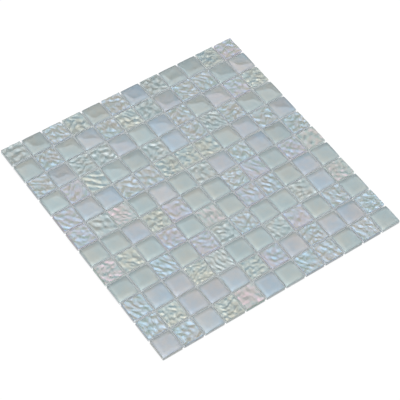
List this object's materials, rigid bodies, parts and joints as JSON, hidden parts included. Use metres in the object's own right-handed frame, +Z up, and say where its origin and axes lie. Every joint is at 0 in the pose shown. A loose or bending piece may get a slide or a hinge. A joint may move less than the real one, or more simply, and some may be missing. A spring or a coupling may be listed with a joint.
{
  "type": "glass mosaic tile sheet",
  "caption": "Square sheet of iridescent glass mosaic tiles, smooth and rippled, held in a grid by a backing mesh, for facing walls, floors and pools.",
  "frame": {"origin": "middle of the sheet at the underside of the backing mesh, where the sheet lies on a floor", "axes": "+Z up, out of the tile faces; +X and +Y along the edges of the sheet"},
  "size_m": [0.298, 0.298, 0.0045],
  "materials": {
    "sage_glass": "gloss",
    "sky_glass": "gloss",
    "lilac_glass": "gloss",
    "rippled_pearl_glass": "gloss",
    "rippled_gold_glass": "gloss",
    "rippled_ice_glass": "gloss",
    "rippled_lilac_glass": "gloss",
    "rippled_rose_glass": "gloss",
    "fibreglass_thread": "matte"
  },
  "bodies": {
    "root": {"smooth_sage_tiles": "sage_glass", "smooth_sky_tiles": "sky_glass", "smooth_lilac_tiles": "lilac_glass", "rippled_pearl_tiles": "rippled_pearl_glass", "rippled_gold_tiles": "rippled_gold_glass", "rippled_ice_tiles": "rippled_ice_glass", "rippled_lilac_tiles": "rippled_lilac_glass", "rippled_rose_tiles": "rippled_rose_glass", "mesh_warp_threads": "fibreglass_thread", "mesh_weft_threads": "fibreglass_thread"}
  },
  "joints": []
}
